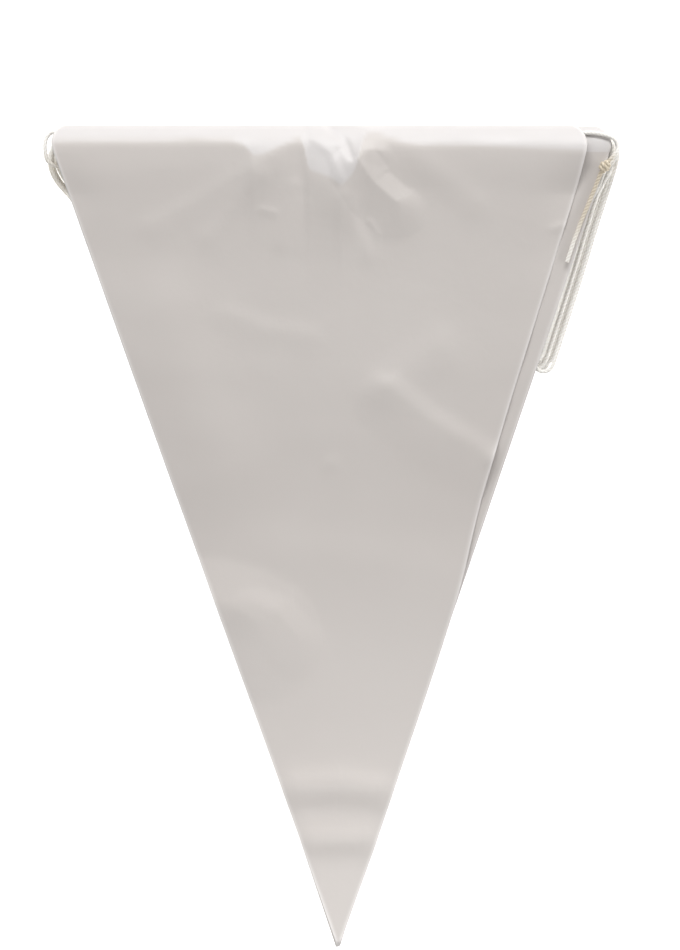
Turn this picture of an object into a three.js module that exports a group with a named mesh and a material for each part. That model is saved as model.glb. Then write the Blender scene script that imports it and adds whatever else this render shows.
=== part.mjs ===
// Flag bunting: eighteen triangular pennants on one cord, folded back and forth into a flat stack.
// Millimetres. X runs along the hems, Y from the tips to the hems, Z up through the stack.
import * as THREE from 'three';
import { mergeVertices } from 'three/addons/utils/BufferGeometryUtils.js';

// Pennant
const PENNANTS = 18;
const TOP_WIDTH = 302;
const DROP = 450;
const TIP_WIDTH = 1.5;
const SHEET = 1.1;

// Cord
const CORD = 2.4;
const CORD_SIDES = 8;
const GAP = 0.3;

// Hem: the turned-over top edge, full where the cord runs and flat again at its seal
const HEM = [
  { down: 0, thick: 0.8, inset: 12 },
  { down: 0.8, thick: 1.7, inset: 9 },
  { down: 2.2, thick: 2.15, inset: 6.5 },
  { down: 5, thick: 2.3, inset: 3.4 },
  { down: 9, thick: 2.45, inset: 0.8 },
  { down: 11, thick: 2.3, inset: 0.3 },
  { down: 14.5, thick: SHEET, inset: 0 },
];
const HEM_HALF = 1.225;

// Rows of a pennant's mesh: those of its hem, and how near its hem line and its tip the other rows may come
const HEM_ROWS = [0, 0.8, 2.2, 5, 11.4, 17];
const ROW_MARGIN = 8;

// Stack, by distance below the hem line: the pitch of the pennants, what the gap that holds a loop opens
// by at that loop's own edge (it closes towards the other edge), and the lift of the lowest pennant
const STACK = [
  { down: -6, pitch: 2.41, wedge: 0, lift: HEM_HALF },
  { down: 9, pitch: 2.86, wedge: 0, lift: HEM_HALF },
  { down: 13, pitch: 2.9, wedge: 0, lift: HEM_HALF },
  { down: 24, pitch: 2.05, wedge: 1.8, lift: 0.85 },
  { down: 36, pitch: 1.4, wedge: 3.1, lift: SHEET / 2 },
  { down: 60, pitch: 1.4, wedge: 3.15, lift: SHEET / 2 },
  { down: 135, pitch: 1.4, wedge: 3.15, lift: SHEET / 2 },
  { down: 170, pitch: 1.4, wedge: 2.9, lift: SHEET / 2 },
  { down: 210, pitch: 1.4, wedge: 2.4, lift: SHEET / 2 },
  { down: 250, pitch: 1.4, wedge: 1.75, lift: SHEET / 2 },
  { down: 290, pitch: 1.4, wedge: 1.15, lift: SHEET / 2 },
  { down: 330, pitch: 1.4, wedge: 0.65, lift: SHEET / 2 },
  { down: 370, pitch: 1.4, wedge: 0.25, lift: SHEET / 2 },
  { down: 410, pitch: 1.4, wedge: 0.05, lift: SHEET / 2 },
  { down: 470, pitch: 1.4, wedge: 0, lift: SHEET / 2 },
];

// How each pennant lies, lowest first: its sideways shift at the hem and at the tip, and its shift upwards
const LAY = [
  { hem: -2.0, tip: -0.4, up: -0.4 },
  { hem: -1.0, tip: 0.3, up: -1.2 },
  { hem: -2.6, tip: -0.6, up: -0.6 },
  { hem: -1.2, tip: 0.2, up: -1.6 },
  { hem: -1.6, tip: -0.5, up: -0.2 },
  { hem: -0.9, tip: 0.4, up: -1.4 },
  { hem: -2.8, tip: -0.3, up: -0.8 },
  { hem: -1.3, tip: 0.5, up: -1.8 },
  { hem: -2.0, tip: 0.1, up: -0.5 },
  { hem: -0.9, tip: 0.4, up: -1.0 },
  { hem: -2.6, tip: -0.6, up: -1.5 },
  { hem: -1.2, tip: 0.2, up: -0.3 },
  { hem: -2.0, tip: -0.4, up: -1.2 },
  { hem: -1.0, tip: 0.5, up: -0.7 },
  { hem: -0.8, tip: -0.5, up: -1.6 },
  { hem: 0.8, tip: 0.3, up: -1.0 },
  { hem: 2.4, tip: 0.4, up: -0.6 },
  { hem: -9.6, tip: 0.3, up: 0 },
];

// Each hem is drawn together on its cord, which pulls its ends in
const PINCH = { x: -9, reach: 22 };
const FRONT_PULL = { left: 0, right: 2 };
const OTHER_PULL = { left: 0.5, right: 0.2 };

// Front pennant: soft ridges, each along a line from left to right, with how far its side towards the hem
// and its side towards the tip reach, and its rise
const FOLDS = [
  { x0: -47, down0: 17, x1: -22, down1: 8, above: 8, below: 16, rise: 2.4 },
  { x0: -15, down0: 26, x1: 4, down1: 33, above: 15, below: 14, rise: 3.4 },
  { x0: 13, down0: 27, x1: 36, down1: 45, above: 8, below: 15, rise: 2.4 },
  { x0: 26, down0: 140, x1: 88, down1: 181, above: 11, below: 18, rise: 2.2 },
  { x0: 27, down0: 136, x1: 52, down1: 118, above: 14, below: 16, rise: 1.6 },
  { x0: -76, down0: 132, x1: -69, down1: 184, above: 24, below: 24, rise: 2.2 },
  { x0: -70, down0: 243, x1: -44, down1: 241, above: 9, below: 14, rise: 1.3 },
  { x0: -44, down0: 241, x1: -24, down1: 278, above: 9, below: 14, rise: 1.6 },
  { x0: -22, down0: 363, x1: 22, down1: 363, above: 10, below: 11, rise: 1.8 },
  { x0: -12, down0: 392, x1: 12, down1: 392, above: 8, below: 10, rise: 1.4 },
];
const FRONT_COLUMNS = 26;
const FRONT_ROW_STEP = 12;

// Loops of the cord, drawn beside the slanting edge: along it from the hem's corner and out from it.
// lie is 0 at the level of the hem that the stretch comes from, and 1 on the pennant under the loop.
// sag is how far a stretch that is held only at its ends hangs below that.
const LEAVE_LEFT = [
  { along: 5.5, out: -2.3, lie: 0 },
  { along: 5.1, out: -0.2, lie: 0 },
  { along: 5.7, out: 3.2, lie: 0 },
  { along: 8.4, out: 6.8, lie: 0 },
  { along: 13, out: 9.8, lie: 0.1 },
  { along: 19.5, out: 11.2, lie: 0.35 },
];
const LEFT_LOOP = [
  { along: 26, out: 10.4, lie: 0.7 },
  { along: 33, out: 7.8, lie: 0.95 },
  { along: 42, out: 4, lie: 1 },
  { along: 54, out: -0.6, lie: 1 },
  { along: 72, out: -4.4, lie: 1 },
  { along: 92, out: -6, lie: 1 },
  { along: 107, out: -6, lie: 1 },
  { along: 114, out: -6.2, lie: 1 },
  { along: 118.2, out: -8, lie: 1 },
  { along: 120, out: -12.2, lie: 1 },
  { along: 118.2, out: -16.4, lie: 1 },
  { along: 114, out: -18.2, lie: 1 },
  { along: 107, out: -18.2, lie: 1 },
  { along: 88, out: -17, lie: 1 },
  { along: 66, out: -13.6, lie: 1 },
  { along: 49, out: -8.2, lie: 1 },
  { along: 37, out: -2.2, lie: 1 },
  { along: 27, out: 3.6, lie: 0.9 },
];
const ENTER_LEFT = [
  { along: 19.8, out: 4.6, lie: 0.78 },
  { along: 15, out: 4.4, lie: 0.4 },
  { along: 10.9, out: 3.2, lie: 0.08 },
  { along: 8.8, out: 2.1, lie: 0 },
  { along: 7, out: 0.7, lie: 0 },
  { along: 5.9, out: -0.9, lie: 0 },
  { along: 5.5, out: -2.3, lie: 0 },
];
const LEAVE_RIGHT = [
  { along: 5.5, out: -2.3, lie: 0 },
  { along: 5.6, out: -0.2, lie: 0 },
  { along: 6.8, out: 2.4, lie: 0 },
  { along: 9.6, out: 4.6, lie: 0.05 },
  { along: 14, out: 6.2, lie: 0.25 },
];
const RIGHT_LOOP = [
  { along: 20, out: 7, lie: 0.7 },
  { along: 36, out: 6.2, lie: 1, sag: 1.4 },
  { along: 54, out: 6.4, lie: 1, sag: 2.6 },
  { along: 80, out: 7.2, lie: 1, sag: 3.2 },
  { along: 110, out: 7.6, lie: 1, sag: 2.2 },
  { along: 126, out: 7.7, lie: 1, sag: 0.9 },
  { along: 133.4, out: 7.6, lie: 1, sag: 0.3 },
  { along: 136, out: 6.9, lie: 1, sag: 0.1 },
  { along: 138, out: 5, lie: 1 },
  { along: 138.7, out: 2.3, lie: 1 },
  { along: 138, out: -0.3, lie: 1 },
  { along: 136, out: -2.2, lie: 1 },
  { along: 133.4, out: -2.9, lie: 1 },
  { along: 122, out: -3, lie: 1 },
  { along: 104, out: -2.8, lie: 1 },
  { along: 74, out: -2.4, lie: 1 },
  { along: 45, out: -1.4, lie: 1 },
  { along: 33, out: 0.4, lie: 1 },
  { along: 25, out: 2, lie: 0.95 },
];
const ENTER_RIGHT = [
  { along: 19, out: 3.6, lie: 0.6 },
  { along: 14.5, out: 4.1, lie: 0.25 },
  { along: 10.9, out: 3.3, lie: 0.05 },
  { along: 8.7, out: 2.1, lie: 0 },
  { along: 7, out: 0.6, lie: 0 },
  { along: 5.9, out: -1, lie: 0 },
  { along: 5.5, out: -2.3, lie: 0 },
];

// How unevenly the loops lie, lowest first: their shift out from the edge, and the reach of their far ends
const FAR_END = 80;
const LEFT_UNEVEN = [
  { out: 0, reach: 0 },
  { out: -0.8, reach: 1.2 },
  { out: -0.2, reach: -0.9 },
  { out: 0.7, reach: 2.4 },
  { out: 0.1, reach: -1.8 },
  { out: -0.7, reach: 0.6 },
  { out: -0.4, reach: 1.6 },
  { out: 0.6, reach: -2.2 },
  { out: 0.4, reach: 0.8 },
];
const RIGHT_UNEVEN = [
  { out: -2.2, reach: -2.6 },
  { out: 0.8, reach: -1.4 },
  { out: -4.2, reach: -3.8 },
  { out: -1.4, reach: -1.8 },
  { out: 1.6, reach: -4.4 },
  { out: -4.8, reach: -2.4 },
  { out: -1.8, reach: -1.2 },
  { out: 1.2, reach: 1 },
];

// Free ends of the cord: the front one has a stop knot and lies on the pennant under the front one,
// the back one lies on the surface
const FRONT_LEAD = [
  { along: 5.6, out: -2.3, rise: 0 },
  { along: 4.9, out: -0.4, rise: 0 },
  { along: 3.9, out: 3.4, rise: 0.1 },
  { along: 3.4, out: 7.4, rise: 0.2 },
  { along: 3.4, out: 10.9, rise: 0.3 },
  { along: 4.1, out: 13.6, rise: 0.45 },
  { along: 6, out: 15.5, rise: 0.65 },
  { along: 8.7, out: 16.2, rise: 0.9 },
  { along: 11.5, out: 15.6, rise: 1.2 },
  { along: 16.3, out: 13.1, rise: 1.7 },
];
const KNOT = { along: 20.5, out: 11.4, rise: 1.9, length: 7.6 };
const KNOT_SECTION = [
  { radius: 0, place: -0.5 },
  { radius: 1.7, place: -0.47 },
  { radius: 2.8, place: -0.32 },
  { radius: 2.4, place: -0.16 },
  { radius: 3.2, place: 0 },
  { radius: 2.4, place: 0.16 },
  { radius: 2.8, place: 0.32 },
  { radius: 1.7, place: 0.47 },
  { radius: 0, place: 0.5 },
];
const KNOT_SIDES = 12;
const FRONT_END = [
  { along: 25, out: 10.2, rise: 1.3 },
  { along: 33, out: 9.4, rise: 0.9 },
  { along: 43, out: 8.4, rise: 0.7 },
  { along: 54, out: 7.4, rise: 0.7 },
  { along: 65, out: 6.8, rise: 0.7 },
  { along: 77, out: 6.6, rise: 0.7 },
];
const BACK_END = [
  { along: 5.5, out: -2.3 },
  { along: 5.1, out: -0.2 },
  { along: 5.4, out: 3.4 },
  { along: 7.3, out: 6.9 },
  { along: 10.9, out: 9.2 },
  { along: 18, out: 10.6 },
  { along: 30, out: 10.8 },
  { along: 55, out: 9.8 },
  { along: 80, out: 9.6 },
  { along: 104, out: 9.9 },
];

const FILM = new THREE.MeshStandardMaterial({ color: '#efece8', roughness: 0.45, metalness: 0 });
const YARN = new THREE.MeshStandardMaterial({ color: '#dcd2ba', roughness: 0.9, metalness: 0 });

const LEFT = -1;
const RIGHT = 1;
const FRONT = PENNANTS - 1;
const SLANT = new THREE.Vector2((TOP_WIDTH - TIP_WIDTH) / 2, DROP).normalize();

// Value of one column of a table at a distance below the hem line, straight between its rows
function read(table, column, down) {
  const next = table.findIndex((row) => row.down >= down);
  if (next === -1) return table[table.length - 1][column];
  if (next === 0) return table[0][column];
  const a = table[next - 1];
  const b = table[next];
  return THREE.MathUtils.mapLinear(down, a.down, b.down, a[column], b[column]);
}

// Half width of a pennant at a distance below its own hem line
function halfWidth(down) {
  return THREE.MathUtils.lerp(TOP_WIDTH, TIP_WIDTH, down / DROP) / 2;
}

function sideShift(layer, down) {
  return THREE.MathUtils.lerp(LAY[layer].hem, LAY[layer].tip, down / DROP);
}

// Height of a pennant's middle surface. From the lowest one up, the gaps open at the left and at the right
// in turn.
function height(layer, x, down) {
  const rightShare = THREE.MathUtils.clamp(0.5 + x / (2 * halfWidth(Math.min(down, DROP))), 0, 1);
  const leftGaps = Math.ceil(layer / 2);
  const rightGaps = Math.floor(layer / 2);
  const opened = leftGaps * (1 - rightShare) + rightGaps * rightShare;
  const lying = read(STACK, 'lift', down) + layer * read(STACK, 'pitch', down);
  return lying + opened * read(STACK, 'wedge', down);
}

// How far the drawn-together hem moves a point of a pennant sideways
function gather(layer, x, down) {
  const ends = layer === FRONT ? FRONT_PULL : OTHER_PULL;
  const pull = x < PINCH.x ? ends.left : -ends.right;
  const share = Math.abs(x - PINCH.x) / (TOP_WIDTH / 2);
  return pull * share * Math.exp(-((down / PINCH.reach) ** 2));
}

// Rise of the front pennant's folds at a point
function relief(x, down) {
  const point = new THREE.Vector3(x, down, 0);
  const nearest = new THREE.Vector3();
  const rises = FOLDS.map((fold) => {
    const crest = new THREE.Line3(
      new THREE.Vector3(fold.x0, fold.down0, 0),
      new THREE.Vector3(fold.x1, fold.down1, 0),
    );
    crest.closestPointToPoint(point, true, nearest);
    const away = nearest.distanceTo(point);
    const towardsHem = away > 0 ? (nearest.y - down) / away : 0;
    const reach = THREE.MathUtils.lerp(fold.below, fold.above, (1 + towardsHem) / 2);
    return fold.rise * Math.exp(-((away / reach) ** 2));
  });
  return Math.max(...rises);
}

// Rows of a pennant's mesh, as distances below its own hem line: its hem's and the stack's, down to its tip
function rowsOf(layer, step) {
  const stackRows = STACK.map((row) => row.down + LAY[layer].up);
  const ownRows = stackRows.filter((down) => down > ROW_MARGIN && down < DROP - ROW_MARGIN);
  const marks = [...HEM_ROWS, ...ownRows, DROP];
  marks.sort((a, b) => a - b);
  const rows = [marks[0]];
  for (const mark of marks.slice(1)) {
    const last = rows[rows.length - 1];
    const parts = Math.max(1, Math.ceil((mark - last) / step));
    for (let part = 1; part <= parts; part += 1) {
      rows.push(THREE.MathUtils.lerp(last, mark, part / parts));
    }
  }
  return rows;
}

// A pennant: a box of rows and columns, each corner of which is moved to its place on the lying sheet
function pennant(layer) {
  const isFront = layer === FRONT;
  const columns = isFront ? FRONT_COLUMNS : 1;
  const rows = rowsOf(layer, isFront ? FRONT_ROW_STEP : DROP);
  const spans = rows.length - 1;
  const box = new THREE.BoxGeometry(2, spans, 2, columns, spans, 1);
  box.deleteAttribute('normal');
  box.deleteAttribute('uv');
  const solid = mergeVertices(box);
  const corners = solid.attributes.position;
  for (let n = 0; n < corners.count; n += 1) {
    const across = corners.getX(n);
    const down = rows[Math.round(spans / 2 - corners.getY(n))];
    const face = corners.getZ(n);
    const below = down - LAY[layer].up;
    const half = halfWidth(down) - read(HEM, 'inset', down);
    const flat = across * half;
    const x = flat + sideShift(layer, down) + gather(layer, flat, down);
    const fold = isFront ? relief(x, down) : 0;
    const z = height(layer, x, below) + fold + (face * read(HEM, 'thick', down)) / 2;
    corners.setXYZ(n, x, -below, z);
  }
  solid.computeVertexNormals();
  return new THREE.Mesh(solid, FILM);
}

// A point beside a pennant's left or right edge, on the plan
function besideEdge(layer, side, along, out) {
  const down = along * SLANT.y + out * SLANT.x;
  const edge = halfWidth(0) - along * SLANT.x + out * SLANT.y;
  const own = THREE.MathUtils.clamp(down, 0, DROP);
  const pulled = gather(layer, side * halfWidth(own), own);
  return { x: side * edge + sideShift(layer, own) + pulled, down: down - LAY[layer].up };
}

// A route that puts a ring of the tube at each of its own points
class Route extends THREE.CatmullRomCurve3 {
  getPointAt(share, target) {
    return this.getPoint(share, target);
  }

  getTangentAt(share, target) {
    return this.getTangent(share, target);
  }
}

function cord(points) {
  const section = new THREE.Shape();
  for (let side = 0; side < CORD_SIDES; side += 1) {
    const turn = (2 * Math.PI * side) / CORD_SIDES;
    const corner = [(CORD / 2) * Math.cos(turn), (CORD / 2) * Math.sin(turn)];
    if (side === 0) section.moveTo(...corner);
    else section.lineTo(...corner);
  }
  const path = new Route(points, false, 'centripetal');
  const tube = new THREE.ExtrudeGeometry(section, { steps: points.length - 1, extrudePath: path });
  return new THREE.Mesh(tube, YARN);
}

// The loop between a pennant and the next one up: out of the lower hem, round on the lower pennant,
// into the upper hem
function loop(lower, side) {
  const upper = lower + 1;
  const [leave, lay, enter, unevenness] =
    side === LEFT
      ? [LEAVE_LEFT, LEFT_LOOP, ENTER_LEFT, LEFT_UNEVEN]
      : [LEAVE_RIGHT, RIGHT_LOOP, ENTER_RIGHT, RIGHT_UNEVEN];
  const uneven = unevenness[Math.floor(lower / 2)];
  const onSheet = SHEET / 2 + GAP + CORD / 2;
  const place = (row, ownLayer) => {
    const along = row.along + (row.along > FAR_END ? uneven.reach : 0);
    const out = row.out + (row.lie === 1 ? uneven.out : 0);
    const spot = besideEdge(ownLayer, side, along, out);
    const hemLevel = height(ownLayer, spot.x, spot.down);
    const sheetLevel = height(lower, spot.x, spot.down) + onSheet;
    const level = THREE.MathUtils.lerp(hemLevel, sheetLevel, row.lie) - (row.sag ?? 0);
    return new THREE.Vector3(spot.x, -spot.down, Math.max(level, HEM_HALF));
  };
  const start = [...leave, ...lay].map((row) => place(row, lower));
  const end = enter.map((row) => place(row, upper));
  return cord([...start, ...end]);
}

// A point of the front free end, measured up or down from the level of the front hem
function frontPlace(row) {
  const spot = besideEdge(FRONT, RIGHT, row.along, row.out);
  return new THREE.Vector3(spot.x, -spot.down, height(FRONT, spot.x, spot.down) + row.rise);
}

function knot() {
  const section = KNOT_SECTION.map((row) => new THREE.Vector2(row.radius, row.place * KNOT.length));
  const mesh = new THREE.Mesh(new THREE.LatheGeometry(section, KNOT_SIDES), YARN);
  const heading = frontPlace(FRONT_END[0]).sub(frontPlace(FRONT_LEAD[FRONT_LEAD.length - 1]));
  mesh.position.copy(frontPlace(KNOT));
  mesh.quaternion.setFromUnitVectors(new THREE.Vector3(0, 1, 0), heading.normalize());
  return mesh;
}

function backPlace(row) {
  const spot = besideEdge(0, RIGHT, row.along, row.out);
  return new THREE.Vector3(spot.x, -spot.down, HEM_HALF);
}

function named(mesh, name) {
  mesh.name = name;
  return mesh;
}

function number(n) {
  return String(n).padStart(2, '0');
}

const bunting = new THREE.Group();
for (let layer = 0; layer < PENNANTS; layer += 1) {
  bunting.add(named(pennant(layer), `pennant_${number(layer + 1)}`));
}
const box = new THREE.Box3().setFromObject(bunting);
for (let lower = 0; lower < PENNANTS - 1; lower += 1) {
  const side = lower % 2 === 0 ? LEFT : RIGHT;
  const name = `loop_${side === LEFT ? 'left' : 'right'}_${number(Math.floor(lower / 2) + 1)}`;
  bunting.add(named(loop(lower, side), name));
}
bunting.add(named(cord(FRONT_LEAD.map(frontPlace)), 'tail_front_lead'));
bunting.add(named(knot(), 'tail_front_knot'));
bunting.add(named(cord(FRONT_END.map(frontPlace)), 'tail_front_end'));
bunting.add(named(cord(BACK_END.map(backPlace)), 'tail_back'));

// The origin is under the middle of the pennants, on the surface
const middle = box.getCenter(new THREE.Vector3());
bunting.position.set(-middle.x, -middle.y, -box.min.z);

export default bunting;
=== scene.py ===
import math

import bpy
import numpy as np
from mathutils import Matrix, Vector
from mathutils.kdtree import KDTree


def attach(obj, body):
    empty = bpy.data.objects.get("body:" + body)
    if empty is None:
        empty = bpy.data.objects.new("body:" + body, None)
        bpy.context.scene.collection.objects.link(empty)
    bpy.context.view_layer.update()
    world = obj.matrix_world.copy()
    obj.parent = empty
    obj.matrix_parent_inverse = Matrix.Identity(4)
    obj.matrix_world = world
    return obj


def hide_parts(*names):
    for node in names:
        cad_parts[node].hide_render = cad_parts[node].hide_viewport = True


# Flag bunting: eighteen white pennants on one cream cord, folded back and forth into a flat stack.
# Sizes are in millimetres and become metres where a mesh is made. X runs along the hems, and down is
# the distance below the hem line, towards the tips.
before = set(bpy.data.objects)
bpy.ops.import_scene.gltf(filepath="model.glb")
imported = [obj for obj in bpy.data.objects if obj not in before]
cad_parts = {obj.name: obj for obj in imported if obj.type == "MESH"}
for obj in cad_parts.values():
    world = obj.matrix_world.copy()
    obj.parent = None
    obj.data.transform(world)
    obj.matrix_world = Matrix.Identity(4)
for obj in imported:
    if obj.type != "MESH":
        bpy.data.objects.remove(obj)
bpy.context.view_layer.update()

MM = 0.001
AXIS = 3.704
HEM_LINE = 225.9

# Pennant and cord
PENNANTS = 18
FRONT = PENNANTS - 1
TOP_WIDTH = 302.0
DROP = 450.0
TIP_WIDTH = 1.5
FILM = 0.22
SHEET = 1.1
CORD = 2.4
CORD_LAY = 6.5
CORD_GROOVE = 0.12
CORD_SIDES = 18
STRANDS = 3
ROUTE_STEP = 0.7
GAP = 0.3
FLAP = 16.0
HEM_HALF = 1.225

# The stack: down, pitch of the pennants, opening of a gap that holds a loop, lift of the lowest pennant
STACK = np.array([
    (-6, 2.41, 0, 1.225),
    (9, 2.86, 0, 1.225),
    (13, 2.9, 0, 1.225),
    (24, 2.05, 1.8, 0.85),
    (36, 1.4, 3.1, 0.55),
    (60, 1.4, 3.15, 0.55),
    (135, 1.4, 3.15, 0.55),
    (170, 1.4, 2.9, 0.55),
    (210, 1.4, 2.4, 0.55),
    (250, 1.4, 1.75, 0.55),
    (290, 1.4, 1.15, 0.55),
    (330, 1.4, 0.65, 0.55),
    (370, 1.4, 0.25, 0.55),
    (410, 1.4, 0.05, 0.55),
    (470, 1.4, 0, 0.55),
])
PITCH, OPENING, LIFT = 1, 2, 3
STACK_EASE = 5.0
STACK_EASE_REACH = 30.0
STACK_EASE_STEP = 0.5

# How each pennant lies, lowest first: sideways at the hem, sideways at the tip, upwards
LAY = [
    (-2.0, -0.4, -0.4), (-1.0, 0.3, -1.2), (-2.6, -0.6, -0.6), (-1.2, 0.2, -1.6), (-1.6, -0.5, -0.2),
    (-0.9, 0.4, -1.4), (-2.8, -0.3, -0.8), (-1.3, 0.5, -1.8), (-2.0, 0.1, -0.5), (-0.9, 0.4, -1.0),
    (-2.6, -0.6, -1.5), (-1.2, 0.2, -0.3), (-2.0, -0.4, -1.2), (-1.0, 0.5, -0.7), (-0.8, -0.5, -1.6),
    (0.8, 0.3, -1.0), (2.4, 0.4, -0.6), (-9.6, 0.3, 0.0),
]
AT_HEM, AT_TIP, UPWARDS = 0, 1, 2

# Mitred ends of a hem: down, how far the end is drawn in
HEM_END = np.array([(0, 12), (0.8, 9), (2.2, 6.5), (5, 3.4), (9, 0.8), (11, 0.3), (14.5, 0)])

# Section of a hem, from the free edge of the turned-over flap, round the cord, to its seal: down, level
HEM_SECTION = [
    (FLAP, 0.14), (15.2, 0.2), (14.6, 0.24), (14.0, 0.1), (12.8, -0.5), (11, -0.94), (8.5, -1.12),
    (5.5, -1.1), (3, -0.98), (1.5, -0.78), (0.6, -0.5), (0.15, -0.24), (0, 0), (0.15, 0.24), (0.6, 0.5),
    (1.5, 0.78), (3, 0.98), (5.5, 1.1), (8.5, 1.12), (11, 1.03), (12.8, 0.91), (14.0, 0.82), (14.6, 0.78),
    (15.2, 0.74), (FLAP, 0.68),
]
HEM_SETTLES = 46.0
# How far in from a cut edge the painted edge light reaches
EDGE_LIGHT_REACH = 1.2

# Where the lighter hem colour ends, and how softly: on the front pennant past its roll, a painted highlight
# over the roll and its lobes beyond the doubled flap; on the other pennants at the hems' seal, where the
# film lies double
FRONT_HIGHLIGHT_END = (0.9, 2.4)
OTHER_SEAM = (14.6, 0.6)

# Ripple of a sheet that lies loose: height, lengths across and down, change from pennant to pennant
SWELL = (0.16, 31.0, 43.0, 2.3)
SLANTING_SWELL = (0.12, 17.0, 58.0, 0.7)

# Ripple of its free edges: height, length down, change from pennant to pennant
EDGE_WAVE = (0.22, 13.0, 3.1)
EDGE_FLUTTER = (0.16, 5.5, 1.3)
NEXT_PENNANT = 1.9
NEAR_EDGE = 6
RIPPLE_FROM = 15.0
RIPPLE_GROWS = 20.0

# Each hem is drawn together on its cord, which pulls its left and right ends in
PINCH_X = -9.0
PINCH_REACH = 22.0
FRONT_PULL = (0.0, -2.0)
OTHER_PULL = (0.5, -0.2)

# Front pennant, whose right edge bows out where it isn't drawn in by the hem: down, how far it bows
FRONT_BOW = np.array([
    (150, 0), (185, 0.6), (205, 1.0), (225, 2.4), (245, 4.2), (262, 5.0), (285, 5.0), (315, 4.6),
    (350, 3.7), (400, 2.5), (450, 0),
])

# Front pennant, where its top edge rolls over to the back: x, how far down the roll reaches, its rise. The
# long lobes are the puckers beside the place where the hem is drawn together.
ROLL = np.array([
    (-160, 9, 2.4), (-118, 8.6, 2.4), (-92, 9, 2.4), (-80, 7.6, 2.2), (-58, 8.6, 2.6), (-51, 12, 3.2),
    (-46, 17.5, 4.0), (-40, 16.5, 4.0), (-30, 11.5, 3.4), (-22, 7.5, 2.4), (-20, 8, 2.4), (-18.2, 13, 2.7),
    (-16.4, 25, 3.5), (-12.5, 26.5, 4.6), (-8, 28, 5.2), (-3, 30, 5.4), (2, 34, 5.4), (7, 29, 4.6),
    (10, 24, 3.8), (12.5, 13, 3.0), (15, 5.5, 2.2), (22, 5, 2.2), (30, 8, 2.4), (36, 10, 2.4),
    (45, 11.5, 2.6), (67, 11.5, 2.6), (90, 12.5, 2.6), (122, 14, 2.8), (150, 15, 2.8),
])
ROLL_REACH, ROLL_RISE = 1, 2
ROLL_EASE = 1.4
ROLL_EASE_REACH = 3.0
ROLL_EASE_STEP = 0.25
RAMP_CORNER = 8.0

# Below the lobes the sheet settles to a low, even roll (reach, rise), which settles further down
LOW_ROLL = (9.0, 2.4)
LOBE_SETTLES = 27.0
ROLL_SETTLES = 44.0

# Below the hem the roll lies down towards the slanting edges, and at the right the edge droops on to the
# second pennant, fully at DROOP_FROM from the middle
EDGE_LIES = 16.0
EDGE_TURNS = 22.0
EDGE_DROOPS = 0.85
DROOP_FROM = 45.0

# Front pennant: ridges, and a few troughs with a fall in place of a rise, along lines of points (x, down)
# from left to right: line, how far its side towards the hem and its side towards the tip reach, rise, and
# how crisp it is, from 0 as a soft swell to 1 as a creased edge
FOLDS = [
    # Puckers below the drawn-together hem
    ([(-6, 0.5), (3.8, 9.3), (7.4, 18)], 2.6, 2.4, -1.1, 0),
    ([(-14, 6), (-4, 16), (1, 29)], 3, 4, 0.7, 0.5),
    ([(11, 19.5), (20, 32), (31.5, 42)], 8, 22, 3.7, 0.8),
    ([(13, 11.5), (23.5, 15.3)], 4.5, 8, 1.2, 0.6),
    ([(-20, 66), (-17.5, 44)], 5, 6, 0.35, 0.2),
    ([(-100, 55), (-74, 41), (-37, 18)], 6, 12, 0.8, 0.2),
    ([(-70, 62), (-44, 28)], 7, 9, 0.8, 0.2),
    ([(-41, 46.5), (-35, 48)], 2.5, 4, 0.4, 0.5),
    ([(17, 53), (21.5, 60)], 2.5, 4, 0.4, 0.5),
    ([(4, 40), (8, 52), (16, 70)], 5, 7, 0.7, 0.2),
    ([(-31, 64), (-24, 34)], 5, 7, 0.7, 0.2),
    ([(42, 18), (74, 42)], 8, 11, 0.9, 0.1),
    # Across the middle
    ([(-61, 103), (-40, 111), (-16, 115)], 6, 12, 0.8, 0.3),
    ([(27.5, 142.5), (54, 122)], 12, 16, 1.5, 0.2),
    ([(27.5, 142.5), (48, 159.5), (88, 184)], 6.5, 28, 1.9, 0.7),
    ([(-92, 105), (-80, 150), (-66, 186)], 22, 24, 2.6, 0),
    ([(-5, 185), (-2.5, 184.5)], 3, 4, 0.5, 0),
    ([(84, 183), (93, 177)], 4, 6, 1.2, 0.4),
    ([(118, 57), (122, 55)], 2.5, 3, 0.6, 0.4),
    # Lower half
    ([(-28, 236), (64, 249)], 18, 60, 2.2, 0),
    ([(-70, 261), (-54, 265), (-45, 271)], 25, 46, 6.0, 0.8),
    ([(-44, 262), (-33, 267), (-22, 280)], 9, 24, 2.0, 0.8),
    ([(-40, 292), (-28, 298)], 18, 45, 1.4, 0.2),
    ([(-22, 363), (0, 361.5), (22, 364)], 9, 12, 4.0, 0.2),
    ([(-14, 391.5), (14, 391.5)], 8, 9, 2.9, 0.2),
]

# Loops of the cord, along the slanting edge from the hem's corner and out from it, and lie, which is
# 0 at the level of the hem that the stretch comes from and 1 on the pennant under the loop, and how far a
# stretch that is held only at its ends sags
IN_HEM = (9.3, -13.6, 0, 0)
LEAVE_LEFT = [
    (5.5, -2.3, 0, 0), (5.1, -0.2, 0, 0), (5.7, 3.2, 0, 0), (8.4, 6.8, 0, 0), (13, 9.8, 0.1, 0),
    (19.5, 11.2, 0.35, 0),
]
LEFT_LOOP = [
    (26, 10.4, 0.7, 0), (33, 7.8, 0.95, 0), (42, 4, 1, 0), (54, -0.6, 1, 0), (72, -4.4, 1, 0),
    (92, -6, 1, 0), (107, -6, 1, 0), (114, -6.2, 1, 0), (118.2, -8, 1, 0), (120, -12.2, 1, 0),
    (118.2, -16.4, 1, 0), (114, -18.2, 1, 0), (107, -18.2, 1, 0), (88, -17, 1, 0), (66, -13.6, 1, 0),
    (49, -8.2, 1, 0), (37, -2.2, 1, 0), (27, 3.6, 0.9, 0),
]
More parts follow.
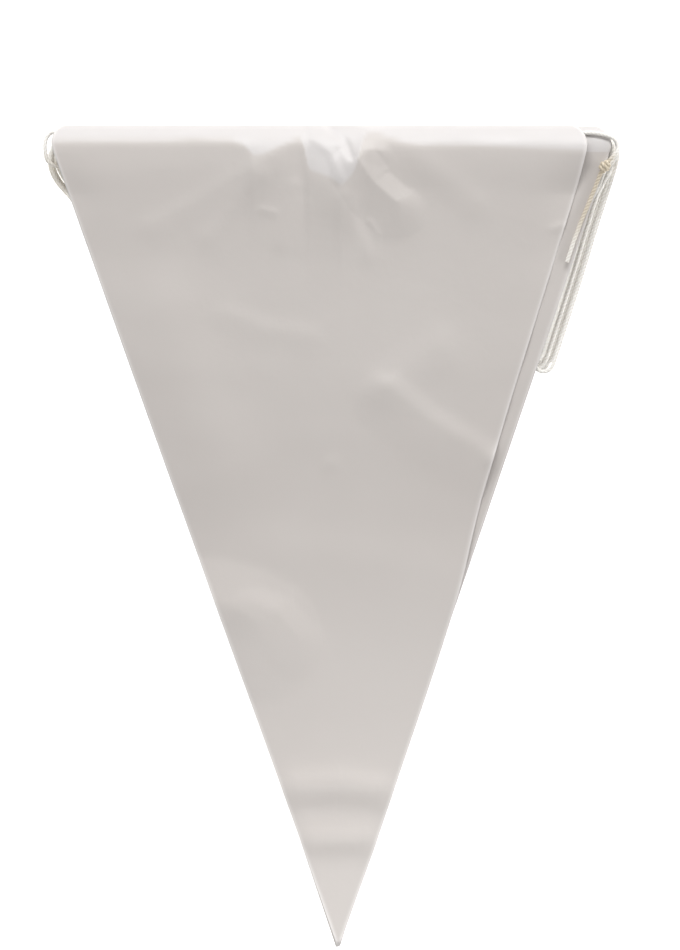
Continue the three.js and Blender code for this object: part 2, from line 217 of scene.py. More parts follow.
ENTER_LEFT = [
    (19.8, 4.6, 0.78, 0), (15, 4.4, 0.4, 0), (10.9, 3.2, 0.08, 0), (8.8, 2.1, 0, 0), (7, 0.7, 0, 0),
    (5.9, -0.9, 0, 0), (5.5, -2.3, 0, 0),
]
LEAVE_RIGHT = [
    (5.5, -2.3, 0, 0), (5.6, -0.2, 0, 0), (6.8, 2.4, 0, 0), (9.6, 4.6, 0.05, 0), (14, 6.2, 0.25, 0),
]
RIGHT_LOOP = [
    (20, 7, 0.7, 0), (36, 6.2, 1, 1.4), (54, 6.4, 1, 2.6), (80, 7.2, 1, 3.2), (110, 7.6, 1, 2.2),
    (126, 7.7, 1, 0.9), (133.4, 7.6, 1, 0.3), (136, 6.9, 1, 0.1), (138, 5, 1, 0), (138.7, 2.3, 1, 0),
    (138, -0.3, 1, 0), (136, -2.2, 1, 0), (133.4, -2.9, 1, 0), (122, -3, 1, 0), (104, -2.8, 1, 0),
    (74, -2.4, 1, 0), (45, -1.4, 1, 0), (33, 0.4, 1, 0), (25, 2, 0.95, 0),
]
ENTER_RIGHT = [
    (19, 3.6, 0.6, 0), (14.5, 4.1, 0.25, 0), (10.9, 3.3, 0.05, 0), (8.7, 2.1, 0, 0), (7, 0.6, 0, 0),
    (5.9, -1, 0, 0), (5.5, -2.3, 0, 0),
]

# How unevenly the loops lie, lowest first: shift out from the edge, reach of the far end
FAR_END = 80
LEFT_UNEVEN = [
    (0, 0), (-0.8, 1.2), (-0.2, -0.9), (0.7, 2.4), (0.1, -1.8), (-0.7, 0.6), (-0.4, 1.6), (0.6, -2.2),
    (0.4, 0.8),
]
RIGHT_UNEVEN = [
    (-2.2, -2.6), (0.8, -1.4), (-4.2, -3.8), (-1.4, -1.8), (1.6, -4.4), (-4.8, -2.4), (-1.8, -1.2),
    (1.2, 1),
]
LEFT, RIGHT = -1, 1
LOOP_TABLES = {
    LEFT: (LEAVE_LEFT, LEFT_LOOP, ENTER_LEFT, LEFT_UNEVEN),
    RIGHT: (LEAVE_RIGHT, RIGHT_LOOP, ENTER_RIGHT, RIGHT_UNEVEN),
}

# Free ends: along, out, and for the front one its rise over the front pennant's level
FRONT_IN_HEM = (9.4, -13.6, 0)
FRONT_LEAD = [
    (5.6, -2.3, 0), (4.9, -0.4, 0), (3.9, 3.4, 0.1), (3.4, 7.4, 0.2), (3.4, 10.9, 0.3), (4.1, 13.6, 0.45),
    (6, 15.5, 0.65), (8.7, 16.2, 0.9), (11.5, 15.6, 1.2), (16.3, 13.1, 1.7),
]
KNOT = (20.5, 11.4, 1.9)
KNOT_LENGTH = 7.6
KNOT_TURNS = 2.6
KNOT_RADIUS = 1.95
KNOT_BLUNT = 0.35
KNOT_CORE = 0.05
KNOT_STRAND = 1.15
KNOT_POINTS = 60
KNOT_STEP = 0.5
FRONT_END = [
    (25, 10.2, 1.3), (33, 9.4, 0.9), (43, 8.4, 0.7), (54, 7.4, 0.7), (65, 6.8, 0.7), (77, 6.6, 0.7),
]
BACK_END = [
    (5.5, -2.3), (5.1, -0.2), (5.4, 3.4), (7.3, 6.9), (10.9, 9.2), (18, 10.6), (30, 10.8), (55, 9.8),
    (80, 9.6), (104, 9.9),
]

# A hem presses the cord thinner: its share of the thickness, how far in from its end the cord is held, and
# how soon it fills out again
PRESSED = 0.84
HELD = 11.0
FILLS_OUT = 4.0

# How brown the cord is, by the distance below the hem line: the front end from its knot on, and the loops
# at the left
FRONT_BROWNING = [(15, 0), (20, 1), (50, 0.85), (66, 0.15)]
LEFT_BROWNING = [(14, 0), (22, 0.4), (34, 0.4), (48, 0)]

SLANT = math.hypot((TOP_WIDTH - TIP_WIDTH) / 2, DROP)
SLANT_X = (TOP_WIDTH - TIP_WIDTH) / 2 / SLANT
SLANT_Y = DROP / SLANT


def lerp(a, b, share):
    return a + (b - a) * share


def near_to(distance, reach):
    """1 at no distance, falling softly to nothing past the reach."""
    return np.exp(-((np.asarray(distance, float) / reach) ** 2))


def half_width(down):
    return lerp(TOP_WIDTH, TIP_WIDTH, np.asarray(down, float) / DROP) / 2


def side_shift(layer, down):
    return lerp(LAY[layer][AT_HEM], LAY[layer][AT_TIP], np.asarray(down, float) / DROP)


# The stack's table with its corners eased, because a sheet bends and doesn't kink
EASED_DOWN = np.arange(-40.0, 500.0, STACK_EASE_STEP)


def eased(column):
    straight = np.interp(EASED_DOWN, STACK[:, 0], STACK[:, column])
    reach = np.arange(-STACK_EASE_REACH, STACK_EASE_REACH + STACK_EASE_STEP, STACK_EASE_STEP)
    weights = near_to(reach, STACK_EASE)
    padded = np.pad(straight, len(reach) // 2, mode="edge")
    return np.convolve(padded, weights / weights.sum(), mode="valid")


EASED = [eased(column) for column in (PITCH, OPENING, LIFT)]


def height(layer, x, down):
    """Level of a pennant's middle surface. The gaps open at the left and at the right in turn."""
    down = np.asarray(down, float)
    right_share = np.clip(0.5 + np.asarray(x, float) / (2 * half_width(np.minimum(down, DROP))), 0, 1)
    opened = math.ceil(layer / 2) * (1 - right_share) + math.floor(layer / 2) * right_share
    pitch, wedge, lift = (np.interp(down, EASED_DOWN, column) for column in EASED)
    return lift + layer * pitch + wedge * opened


def gather(layer, x, down):
    """How far the drawn-together hem moves a point of a pennant sideways."""
    x = np.asarray(x, float)
    ends = FRONT_PULL if layer == FRONT else OTHER_PULL
    share = np.abs(x - PINCH_X) / (TOP_WIDTH / 2) * near_to(down, PINCH_REACH)
    return np.where(x < PINCH_X, ends[0], ends[1]) * share


def fold(x, down, line, above, below, rise, crisp):
    """Height of one ridge or trough: its two sides reach differently far from its line."""
    distance = np.full(np.broadcast(x, down).shape, np.inf)
    towards_hem = np.zeros_like(distance)
    for (x0, down0), (x1, down1) in zip(line, line[1:]):
        run, fall = x1 - x0, down1 - down0
        share = np.clip(((x - x0) * run + (down - down0) * fall) / (run * run + fall * fall), 0, 1)
        to_hem = down0 + share * fall - down
        gap = np.hypot(x - x0 - share * run, to_hem)
        towards_hem = np.where(gap < distance, to_hem, towards_hem)
        distance = np.minimum(gap, distance)
    reach = lerp(below, above, 0.5 + 0.5 * towards_hem / np.maximum(distance, 1e-6))
    away = distance / reach
    return rise * lerp(np.exp(-away * away), np.maximum(1 - away, 0), crisp)


def beside_edge(layer, side, along, out):
    """A point beside a pennant's left or right edge, as x and down."""
    down = along * SLANT_Y + out * SLANT_X
    edge = TOP_WIDTH / 2 - along * SLANT_X + out * SLANT_Y
    own = min(max(down, 0), DROP)
    pulled = float(gather(layer, side * half_width(own), own))
    return side * edge + float(side_shift(layer, own)) + pulled, down - LAY[layer][UPWARDS]


def place(x, down, level):
    return Vector(((AXIS + x) * MM, (HEM_LINE - down) * MM, level * MM))


# Camera: straight above, as the photograph is taken
SENSOR = 36.0
CAMERA_HEIGHT = 3.0
CAMERA_SIGHT = 20.0
VIEW_CENTRE = (1.1, 191.4)
VIEW_LENGTH = 519.5
SURFACE_LEVEL = 45.0

camera_data = bpy.data.cameras.new("camera")
camera_data.sensor_fit = "VERTICAL"
camera_data.sensor_height = SENSOR
camera_data.lens = SENSOR * (CAMERA_HEIGHT / MM - SURFACE_LEVEL) / VIEW_LENGTH
camera_data.clip_end = CAMERA_SIGHT
camera = bpy.data.objects.new("camera", camera_data)
camera.location = place(*VIEW_CENTRE, CAMERA_HEIGHT / MM)
bpy.context.scene.collection.objects.link(camera)
bpy.context.scene.camera = camera


# Materials


def material(name):
    made = bpy.data.materials.new(name)
    made.use_nodes = True
    return made, made.node_tree.nodes, made.node_tree.links, made.node_tree.nodes["Principled BSDF"]


def cloudy_group():
    """Soft clouds on a surface, from 0 to 1 around a middle of a half."""
    group = bpy.data.node_groups.new("soft_clouds", "ShaderNodeTree")
    group.interface.new_socket("Vector", in_out="INPUT", socket_type="NodeSocketVector")
    for name, value in (("Scale", 20.0), ("Detail", 3.0), ("Contrast", 1.0)):
        socket = group.interface.new_socket(name, in_out="INPUT", socket_type="NodeSocketFloat")
        socket.default_value = value
    group.interface.new_socket("Clouds", in_out="OUTPUT", socket_type="NodeSocketFloat")
    nodes, links = group.nodes, group.links
    given = nodes.new("NodeGroupInput")
    result = nodes.new("NodeGroupOutput")
    noise = nodes.new("ShaderNodeTexNoise")
    centred = nodes.new("ShaderNodeMath")
    centred.operation = "SUBTRACT"
    centred.inputs[1].default_value = 0.5
    spread = nodes.new("ShaderNodeMath")
    spread.operation = "MULTIPLY_ADD"
    spread.inputs[2].default_value = 0.5
    spread.use_clamp = True
    links.new(given.outputs["Vector"], noise.inputs["Vector"])
    links.new(given.outputs["Scale"], noise.inputs["Scale"])
    links.new(given.outputs["Detail"], noise.inputs["Detail"])
    links.new(noise.outputs["Fac"], centred.inputs[0])
    links.new(centred.outputs[0], spread.inputs[0])
    links.new(given.outputs["Contrast"], spread.inputs[1])
    links.new(spread.outputs[0], result.inputs["Clouds"])
    return group


CLOUDS = cloudy_group()


def clouds(nodes, links, scale, detail, contrast):
    where = nodes.new("ShaderNodeTexCoord")
    node = nodes.new("ShaderNodeGroup")
    node.node_tree = CLOUDS
    node.inputs["Scale"].default_value = scale
    node.inputs["Detail"].default_value = detail
    node.inputs["Contrast"].default_value = contrast
    links.new(where.outputs["Object"], node.inputs["Vector"])
    return node.outputs["Clouds"]


def mixed(nodes, links, factor, a, b):
    node = nodes.new("ShaderNodeMix")
    node.data_type = "RGBA"
    links.new(factor, node.inputs["Factor"])
    for socket, value in ((node.inputs[6], a), (node.inputs[7], b)):
        if isinstance(value, tuple):
            socket.default_value = (*value, 1)
        else:
            links.new(value, socket)
    return node.outputs[2]


def ranged(nodes, links, value, low, high):
    node = nodes.new("ShaderNodeMapRange")
    node.inputs["To Min"].default_value = low
    node.inputs["To Max"].default_value = high
    links.new(value, node.inputs["Value"])
    return node.outputs["Result"]


def bumped(nodes, links, shader, heights):
    """Chains bumps, each a height with its strength and depth in metres, into the shader's normal."""
    last = None
    for value, strength, depth in heights:
        bump = nodes.new("ShaderNodeBump")
        bump.inputs["Strength"].default_value = strength
        bump.inputs["Distance"].default_value = depth
        links.new(value, bump.inputs["Height"])
        if last:
            links.new(last, bump.inputs["Normal"])
        last = bump.outputs["Normal"]
    links.new(last, shader.inputs["Normal"])


def named_value(nodes, name):
    node = nodes.new("ShaderNodeAttribute")
    node.attribute_name = name
    return node.outputs["Fac"]


# Colours of the film: its single sheet in two shades, its doubled hem, which on the front pennant is also
# painted highlight over the roll and lobes, and painted light along its cut edges
FILM_SHEET = ((0.562, 0.523, 0.497), (0.588, 0.552, 0.526))
FILM_HEM_AND_HIGHLIGHT = (0.632, 0.606, 0.596)
FILM_EDGE_LIGHT = (0.75, 0.72, 0.703)

# Colours of the cord, cream and brown: its yarn in two shades, and painted shade in its grooves
CREAM_YARN = ((0.92, 0.90, 0.86), (0.96, 0.95, 0.92))
CREAM_GROOVE_SHADE = (0.86, 0.83, 0.77)
BROWN_YARN = ((0.64, 0.56, 0.43), (0.76, 0.69, 0.57))
BROWN_GROOVE_SHADE = (0.50, 0.42, 0.31)


def film_finish():
    """Thin white film: lighter where the hem lies double, with painted highlight over the front pennant's
    roll and lobes, and painted light along the cut edges.
    """
    made, nodes, links, shader = material("white_film")
    broad = clouds(nodes, links, 9, 2, 1.6)
    body = mixed(nodes, links, broad, *FILM_SHEET)
    # Painted highlight: the lighter hem colour also covers the front pennant's roll and lobes
    hem_and_highlight = mixed(nodes, links, named_value(nodes, "double_film_and_highlight"), body, FILM_HEM_AND_HIGHLIGHT)
    # Painted light: the cut edges are lighter, as if lit through the film from behind
    whole = mixed(nodes, links, named_value(nodes, "painted_edge_light"), hem_and_highlight, FILM_EDGE_LIGHT)
    links.new(whole, shader.inputs["Base Color"])
    dull = clouds(nodes, links, 38, 4, 1.8)
    links.new(ranged(nodes, links, dull, 0.36, 0.52), shader.inputs["Roughness"])
    bumped(nodes, links, shader, [
        (clouds(nodes, links, 55, 3, 1.4), 0.25, 0.0009),
        (clouds(nodes, links, 900, 3, 1.0), 0.12, 0.00008),
    ])
    return made


def cord_finish():
    """Twisted cream yarn, with painted shade in its grooves, and brown along the front end, its knot and
    the loops at the left.
    """
    made, nodes, links, shader = material("cream_cord")
    fibres = clouds(nodes, links, 160, 4, 1.8)
    # Painted shade: the grooves between the strands are darkened
    groove_shade = named_value(nodes, "groove_shade")
    cream = mixed(nodes, links, groove_shade, mixed(nodes, links, fibres, *CREAM_YARN), CREAM_GROOVE_SHADE)
    brown = mixed(nodes, links, groove_shade, mixed(nodes, links, fibres, *BROWN_YARN), BROWN_GROOVE_SHADE)
    whole = mixed(nodes, links, named_value(nodes, "browning"), cream, brown)
    links.new(whole, shader.inputs["Base Color"])
    dull = clouds(nodes, links, 1400, 3, 1.5)
    links.new(ranged(nodes, links, dull, 0.7, 0.95), shader.inputs["Roughness"])
    bumped(nodes, links, shader, [(clouds(nodes, links, 2600, 4, 1.6), 0.5, 0.00015)])
    return made


def floor_finish():
    made, nodes, links, shader = material("pale_floor")
    shade = mixed(nodes, links, clouds(nodes, links, 2, 2, 1.0), (0.93, 0.93, 0.93), (0.95, 0.95, 0.95))
    links.new(shade, shader.inputs["Base Color"])
    shader.inputs["Roughness"].default_value = 0.8
    shader.inputs["Emission Color"].default_value = (1, 1, 1, 1)
    shader.inputs["Emission Strength"].default_value = 1.0
    return made


WHITE_FILM = film_finish()
CREAM_CORD = cord_finish()


# Cords


def smooth_route(points, step=ROUTE_STEP):
    """A route through the points, even in its bends, with a point about every step."""
    points = [Vector(p) for p in points]
    ends = [2 * points[0] - points[1], *points, 2 * points[-1] - points[-2]]
    route = [points[0]]
    for a, b, c, d in zip(ends, ends[1:], ends[2:], ends[3:]):
        t1 = (b - a).length ** 0.5
        t2 = t1 + (c - b).length ** 0.5
        t3 = t2 + (d - c).length ** 0.5
        parts = max(2, round((c - b).length / (step * MM)))
        for part in range(1, parts + 1):
            t = lerp(t1, t2, part / parts)
            ab = a.lerp(b, t / t1)
            bc = b.lerp(c, (t - t1) / (t2 - t1))
            cd = c.lerp(d, (t - t2) / (t3 - t2))
            abc = ab.lerp(bc, t / t2)
            bcd = bc.lerp(cd, (t - t1) / (t3 - t1))
            route.append(abc.lerp(bcd, (t - t1) / (t2 - t1)))
    return route


def length_of(route):
    return sum((b - a).length for a, b in zip(route, route[1:]))


def twisted_cord_tree():
    """Three strands laid round each other: a three-lobed section that turns as it follows the route."""
    tree = bpy.data.node_groups.new("twisted_cord", "GeometryNodeTree")
    tree.interface.new_socket("Geometry", in_out="INPUT", socket_type="NodeSocketGeometry")
    sizes = {"Radius": CORD / 2 * MM, "Lay length": CORD_LAY * MM, "Groove depth": CORD_GROOVE}
    for name, value in sizes.items():
        socket = tree.interface.new_socket(name, in_out="INPUT", socket_type="NodeSocketFloat")
        socket.default_value = value
    tree.interface.new_socket("Material", in_out="INPUT", socket_type="NodeSocketMaterial")
    tree.interface.new_socket("Geometry", in_out="OUTPUT", socket_type="NodeSocketGeometry")
    nodes, links = tree.nodes, tree.links
    given = nodes.new("NodeGroupInput")
    result = nodes.new("NodeGroupOutput")

    def maths(operation, *values):
        node = nodes.new("ShaderNodeMath")
        node.operation = operation
        for socket, value in zip(node.inputs, values):
            if isinstance(value, (int, float)):
                socket.default_value = value
            else:
                links.new(value, socket)
        return node.outputs[0]

    # Section: a circle that dips towards the three grooves between the strands
    circle = nodes.new("GeometryNodeCurvePrimitiveCircle")
    circle.inputs["Resolution"].default_value = CORD_SIDES
    circle.inputs["Radius"].default_value = 1.0
    position = nodes.new("GeometryNodeInputPosition")
    split = nodes.new("ShaderNodeSeparateXYZ")
    links.new(position.outputs[0], split.inputs[0])
    turn = maths("ARCTAN2", split.outputs["Y"], split.outputs["X"])
    lobes = maths("COSINE", maths("MULTIPLY", turn, STRANDS))
    dip = maths("POWER", maths("MULTIPLY_ADD", lobes, -0.5, 0.5), 2.0)
    reach = maths("MULTIPLY", given.outputs["Radius"],
                  maths("SUBTRACT", 1.0, maths("MULTIPLY", dip, given.outputs["Groove depth"])))
    sized = nodes.new("ShaderNodeVectorMath")
    sized.operation = "SCALE"
    links.new(position.outputs[0], sized.inputs[0])
    links.new(reach, sized.inputs["Scale"])
    # The grooves' depth is kept for the finish, which paints shade into them
    keep = nodes.new("GeometryNodeStoreNamedAttribute")
    keep.data_type = "FLOAT"
    keep.domain = "POINT"
    keep.inputs["Name"].default_value = "groove_shade"
    links.new(circle.outputs["Curve"], keep.inputs["Geometry"])
    links.new(dip, keep.inputs["Value"])
    lobed = nodes.new("GeometryNodeSetPosition")
    links.new(keep.outputs["Geometry"], lobed.inputs["Geometry"])
    links.new(sized.outputs["Vector"], lobed.inputs["Position"])

    # Route: turned by its own length
    along = nodes.new("GeometryNodeSplineParameter")
    tilt = nodes.new("GeometryNodeSetCurveTilt")
    turns = maths("DIVIDE", along.outputs["Length"], given.outputs["Lay length"])
    links.new(given.outputs["Geometry"], tilt.inputs["Curve"])
    links.new(maths("MULTIPLY", turns, 2 * math.pi), tilt.inputs["Tilt"])
    swept = nodes.new("GeometryNodeCurveToMesh")
    swept.inputs["Fill Caps"].default_value = True
    links.new(tilt.outputs["Curve"], swept.inputs["Curve"])
    links.new(lobed.outputs["Geometry"], swept.inputs["Profile Curve"])
    smooth = nodes.new("GeometryNodeSetShadeSmooth")
    real = nodes.new("GeometryNodeRealizeInstances")
    finish = nodes.new("GeometryNodeSetMaterial")
    links.new(swept.outputs["Mesh"], smooth.inputs["Geometry"])
    links.new(smooth.outputs["Geometry"], real.inputs["Geometry"])
    links.new(real.outputs["Geometry"], finish.inputs["Geometry"])
    links.new(given.outputs["Material"], finish.inputs["Material"])
    links.new(finish.outputs["Geometry"], result.inputs["Geometry"])
    return tree


TWISTED_CORD = twisted_cord_tree()


def set_input(modifier, name, value):
    for item in modifier.node_group.interface.items_tree:
        if item.item_type == "SOCKET" and item.in_out == "INPUT" and item.name == name:
            modifier[item.identifier] = value


def plain_mesh(carrier, name):
    """The carrier's finished shape as a plain mesh object; the carrier and its modifiers go."""
    bpy.context.view_layer.update()
    graph = bpy.context.evaluated_depsgraph_get()
    mesh = bpy.data.meshes.new_from_object(carrier.evaluated_get(graph))
    mesh.name = name
    bpy.data.objects.remove(carrier)
    piece = bpy.data.objects.new(name, mesh)
    bpy.context.scene.collection.objects.link(piece)
    return piece


def cord_piece(name, route, thin=None, radius=CORD / 2, browning=None):
    """A stretch of twisted cord along a route. thin narrows it point by point, as where a hem presses it,
    and the last argument says how brown it is at each point."""
    curve = bpy.data.curves.new(name + "_route", "CURVE")
    curve.dimensions = "3D"
    spline = curve.splines.new("POLY")
    spline.points.add(len(route) - 1)
    for n, (point, spot) in enumerate(zip(spline.points, route)):
        point.co = (*spot, 1)
        point.radius = thin[n] if thin else 1
    carrier = bpy.data.objects.new(name + "_route", curve)
    bpy.context.scene.collection.objects.link(carrier)
    modifier = carrier.modifiers.new("twist", "NODES")
    modifier.node_group = TWISTED_CORD
    set_input(modifier, "Radius", radius * MM)
    set_input(modifier, "Lay length", CORD_LAY * MM)
    set_input(modifier, "Groove depth", CORD_GROOVE)
    set_input(modifier, "Material", CREAM_CORD)
    piece = plain_mesh(carrier, name)
    if browning:
        nearest = KDTree(len(route))
        for n, spot in enumerate(route):
            nearest.insert(spot, n)
        nearest.balance()
        brown = piece.data.attributes.new("browning", "FLOAT", "POINT")
        for vertex in piece.data.vertices:
            brown.data[vertex.index].value = browning[nearest.find(vertex.co)[1]]
    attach(piece, "root")
    return piece


def pressed(route, ends):
    """Narrower inside a hem: how thick the cord is at each point of a route whose ends are in hems."""
    thick = []
    total = length_of(route)
    gone = 0.0
    for n, spot in enumerate(route):
        gone += (spot - route[n - 1]).length if n else 0
        inside = min(gone if ends[0] else math.inf, (total - gone) if ends[1] else math.inf)
        free = min(max((inside - HELD * MM) / (FILLS_OUT * MM), 0), 1)
        thick.append(lerp(PRESSED, 1, free))
    return thick


def loop_points(lower, side):
    """Out of the lower hem, round on the lower pennant, into the upper hem."""
    leave, lay, enter, uneven = LOOP_TABLES[side]
    shift, reach = uneven[lower // 2]
    on_sheet = SHEET / 2 + GAP + CORD / 2

    def spot(row, layer):
        along, out, lie, sag = row
        along += reach if along > FAR_END else 0
        x, down = beside_edge(layer, side, along, out + (shift if lie == 1 else 0))
        level = lerp(float(height(layer, x, down)), float(height(lower, x, down)) + on_sheet, lie) - sag
        return place(x, down, max(level, HEM_HALF))

    points = [spot(row, lower) for row in [IN_HEM, *leave, *lay]]
    return points + [spot(row, lower + 1) for row in [*enter, IN_HEM]]


def front_spot(row):
    along, out, rise = row
    x, down = beside_edge(FRONT, RIGHT, along, out)
    return place(x, down, float(height(FRONT, x, down)) + rise)


def browning_along(route, table):
    """How brown the cord is at each point of a route."""
    return [float(np.interp(HEM_LINE - spot.y / MM, *zip(*table))) for spot in route]


def back_spot(row):
    x, down = beside_edge(0, RIGHT, row[0], row[1])
    return place(x, down, HEM_HALF)


for lower in range(PENNANTS - 1):
    side = RIGHT if lower % 2 else LEFT
    node = f"loop_{'right' if lower % 2 else 'left'}_{lower // 2 + 1:02d}"
    route = smooth_route(loop_points(lower, side))
    brown = browning_along(route, LEFT_BROWNING) if side == LEFT else None
    loop = cord_piece("cord_" + node, route, pressed(route, (True, True)), browning=brown)
    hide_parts(node)


def knot_points():
    """The stop knot: turns of the cord round itself, drawn tight at both ends."""
    middle = front_spot(KNOT)
    heading = (front_spot(FRONT_END[0]) - front_spot(FRONT_LEAD[-1])).normalized()
    side = heading.cross(Vector((0, 0, 1))).normalized()
    up = side.cross(heading)
    points = []
    for n in range(KNOT_POINTS + 1):
        share = n / KNOT_POINTS
        turn = 2 * math.pi * KNOT_TURNS * share
        reach = KNOT_RADIUS * math.sin(math.pi * share) ** KNOT_BLUNT + KNOT_CORE
        run = (share - 0.5) * (KNOT_LENGTH - CORD) * MM
        points.append(middle + heading * run + (side * math.cos(turn) + up * math.sin(turn)) * reach * MM)
    return points


# Front free end with its stop knot
front_route = smooth_route([front_spot(row) for row in [FRONT_IN_HEM, *FRONT_LEAD, KNOT, *FRONT_END]])
knot_route = smooth_route(knot_points(), KNOT_STEP)
knot = cord_piece("cord_front_knot", knot_route, radius=KNOT_STRAND, browning=[1] * len(knot_route))
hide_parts("tail_front_knot")
front_tail = cord_piece("cord_front_tail", front_route, pressed(front_route, (True, False)),
                        browning=browning_along(front_route, FRONT_BROWNING))
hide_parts("tail_front_lead", "tail_front_end")

# Back free end
back_route = smooth_route([back_spot(IN_HEM), *map(back_spot, BACK_END)])
back_tail = cord_piece("cord_back_tail", back_route, pressed(back_route, (True, False)))
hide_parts("tail_back")


# Pennants


def ripple(layer, x, down, across):
    """The small unevenness of a sheet that lies loose, most at its free edges."""
    turn = NEXT_PENNANT * layer
    rise, wide, long, change = SWELL
    broad = rise * np.sin(x / wide + turn) * np.sin(down / long + change * turn)
    rise, wide, long, change = SLANTING_SWELL
    broad += rise * np.sin(x / wide - down / long + change * turn)
    edge = np.abs(across) ** NEAR_EDGE
    waved = 0
    for rise, long, change in (EDGE_WAVE, EDGE_FLUTTER):
        waved = waved + rise * np.sin(down / long + change * turn)
    return (broad + edge * waved) * np.clip((down - RIPPLE_FROM) / RIPPLE_GROWS, 0, 1)


def rolled(x, column):
    """A column of the roll's table along the hem, with its corners eased."""
    steps = np.arange(-ROLL_EASE_REACH, ROLL_EASE_REACH + ROLL_EASE_STEP / 2, ROLL_EASE_STEP)
    weights = near_to(steps, ROLL_EASE)
    eased_sum = sum(w * np.interp(x + step, ROLL[:, 0], ROLL[:, column]) for step, w in zip(steps, weights))
    return eased_sum / weights.sum()


def ramp(share):
    """Rises evenly from 0 to 1 and then stays, with its corner eased."""
    return 1 - np.log1p(np.exp(RAMP_CORNER * (1 - share))) / RAMP_CORNER


def relief(x, down, from_edge):
    """The front pennant's folds and the roll of its top edge, which lies down at the slanting edges."""
    reach = rolled(x, ROLL_REACH)
    lobe = rolled(x, ROLL_RISE) * ramp(down / reach)
    near = near_to(np.maximum(down - reach, 0), LOBE_SETTLES)
    low_reach, low_rise = LOW_ROLL
    low = low_rise * ramp(down / low_reach) * near_to(np.maximum(down - low_reach, 0), ROLL_SETTLES)
    lying = near_to(from_edge, EDGE_LIES) * np.clip((down - FLAP) / EDGE_TURNS, 0, 1)
    droop = EDGE_DROOPS * np.clip(x / DROOP_FROM, 0, 1) * lying
    return lerp(low, lobe, near) * (1 - lying) + sum(fold(x, down, *row) for row in FOLDS) - droop


def double_and_highlight_share(layer, x, down):
    """1 where a pennant lies double, at its hem, and on the front pennant also over its roll and lobes as
    painted highlight; 0 on its single sheet.
    """
    if layer == FRONT:
        past, soft = FRONT_HIGHLIGHT_END
        return np.clip((rolled(x, ROLL_REACH) + past - down) / soft, 0, 1)
    seam, soft = OTHER_SEAM
    return np.clip((seam - down) / soft, 0, 1)


# Rows below the hem and columns across, closer together where the front pennant is puckered
def spaced(*stretches):
    """Values from stretches of (end, step), the first pair giving the start."""
    values = [stretches[0][0]]
    for end, step in stretches[1:]:
        parts = max(1, round((end - values[-1]) / step))
        start = values[-1]
        values += [lerp(start, end, n / parts) for n in range(1, parts + 1)]
    return np.array(values)


FRONT_ROWS = spaced((FLAP, 0), (62, 0.95), (DROP, 2.8))[1:]
FRONT_ACROSS = spaced((-1, 0), (-0.98, 0.007), (-0.42, 0.0165), (0.32, 0.0066), (0.98, 0.0165), (1, 0.007))
OTHER_ROWS = spaced((FLAP, 0), (DROP, 9))[1:]
OTHER_ACROSS = spaced((-1, 0), (-0.97, 0.01), (0.97, 0.1), (1, 0.01))


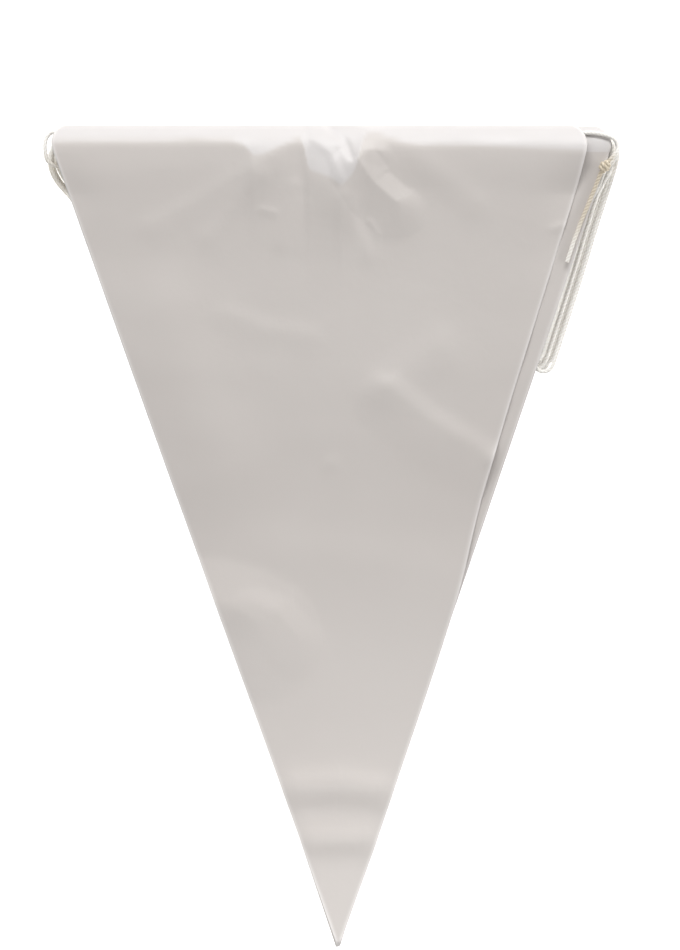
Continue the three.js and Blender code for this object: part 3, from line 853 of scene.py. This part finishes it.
def pennant_piece(layer):
    front = layer == FRONT
    rows, across = (FRONT_ROWS, FRONT_ACROSS) if front else (OTHER_ROWS, OTHER_ACROSS)
    seal = HEM_SECTION[-1][1]
    settled = np.clip((rows - FLAP) / (HEM_SETTLES - FLAP), 0, 1)
    section = HEM_SECTION + list(zip(rows, seal * (1 - settled) ** 2))
    down = np.array([row[0] for row in section])[:, None]
    level = np.array([row[1] for row in section])[:, None]
    across = across[None, :]
    columns = across.size - 1
    below = down - LAY[layer][UPWARDS]
    flat = across * (half_width(down) - np.interp(down, HEM_END[:, 0], HEM_END[:, 1]))
    x = flat + side_shift(layer, down) + gather(layer, flat, down)
    if front:
        x = x + np.maximum(across, 0) * np.interp(down, FRONT_BOW[:, 0], FRONT_BOW[:, 1])
    wide_down = down + 0 * x
    from_edge = (1 - np.abs(across)) * half_width(down)
    z = height(layer, x, below) + level + ripple(layer, x, wide_down, across + 0 * x)
    if front:
        z = z + relief(x, wide_down, from_edge)
    places = np.stack([(AXIS + x) * MM, (HEM_LINE - below + 0 * x) * MM, z * MM], axis=-1).reshape(-1, 3)
    wide = columns + 1
    faces = []
    for r in range(len(section) - 1):
        for c in range(columns):
            a = r * wide + c
            faces.append((a, a + wide, a + wide + 1, a + 1))
    name = f"film_pennant_{layer + 1:02d}"
    mesh = bpy.data.meshes.new(name)
    mesh.from_pydata([tuple(p) for p in places], [], faces)
    mesh.polygons.foreach_set("use_smooth", [True] * len(faces))
    # The front pennant's share paints a highlight over its roll and lobes; the other pennants' share is
    # their doubled hem
    double_film_and_highlight = mesh.attributes.new("double_film_and_highlight", "FLOAT", "POINT")
    double_film_and_highlight.data.foreach_set("value", double_and_highlight_share(layer, x, wide_down).astype(np.float32).ravel())
    # Painted light along the cut edges
    painted_edge_light = mesh.attributes.new("painted_edge_light", "FLOAT", "POINT")
    painted_edge_light.data.foreach_set("value", near_to(from_edge, EDGE_LIGHT_REACH).astype(np.float32).ravel())
    mesh.materials.append(WHITE_FILM)
    mesh.update()
    sheet = bpy.data.objects.new(name, mesh)
    bpy.context.scene.collection.objects.link(sheet)
    thick = sheet.modifiers.new("film", "SOLIDIFY")
    thick.thickness = FILM * MM
    thick.offset = 0
    piece = plain_mesh(sheet, name)
    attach(piece, "root")
    return piece


for layer in range(PENNANTS):
    node = f"pennant_{layer + 1:02d}"
    pennant = pennant_piece(layer)
    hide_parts(node)


# Floor and light
FLOOR_HALF = 4.0
FLOOR_LEVEL = -0.0004
FLOOR_CORNERS = [(-1, -1), (1, -1), (1, 1), (-1, 1)]
floor_mesh = bpy.data.meshes.new("floor")
floor_mesh.from_pydata([(x * FLOOR_HALF, y * FLOOR_HALF, 0) for x, y in FLOOR_CORNERS], [], [(0, 1, 2, 3)])
floor_mesh.materials.append(floor_finish())
floor = bpy.data.objects.new("floor", floor_mesh)
floor.location = (0, 0, FLOOR_LEVEL)
bpy.context.scene.collection.objects.link(floor)


def soft_light(name, where, aim, size, power):
    data = bpy.data.lights.new(name, "AREA")
    data.shape = "RECTANGLE"
    data.size, data.size_y = size
    data.energy = power
    lamp = bpy.data.objects.new(name, data)
    lamp.location = where
    lamp.rotation_euler = (Vector(aim) - Vector(where)).to_track_quat("-Z", "Y").to_euler()
    lamp.visible_camera = False
    bpy.context.scene.collection.objects.link(lamp)


# Lights: place, the point aimed at, size, power
LIGHTS = {
    "light_behind_hems": ((0.1, 1.5, 0.95), (0, 0.05, 0.03), (1.6, 0.5), 21.5),
    "light_over_tips": ((0.0, -0.28, 0.31), (0, -0.26, 0.02), (0.4, 0.25), 0.47),
    "light_left": ((-1.4, 0.1, 1.2), (0, 0, 0.03), (0.8, 1.2), 5.0),
    "light_right": ((1.2, 0.15, 0.6), (0.08, 0.08, 0.03), (1.0, 0.4), 4.4),
}
for name, row in LIGHTS.items():
    soft_light(name, *row)

ROOM_LIGHT = 0.382
world = bpy.data.worlds.new("studio")
world.use_nodes = True
world.node_tree.nodes["Background"].inputs["Color"].default_value = (1, 1, 1, 1)
world.node_tree.nodes["Background"].inputs["Strength"].default_value = ROOM_LIGHT
bpy.context.scene.world = world
bpy.context.scene.view_settings.view_transform = "Standard"
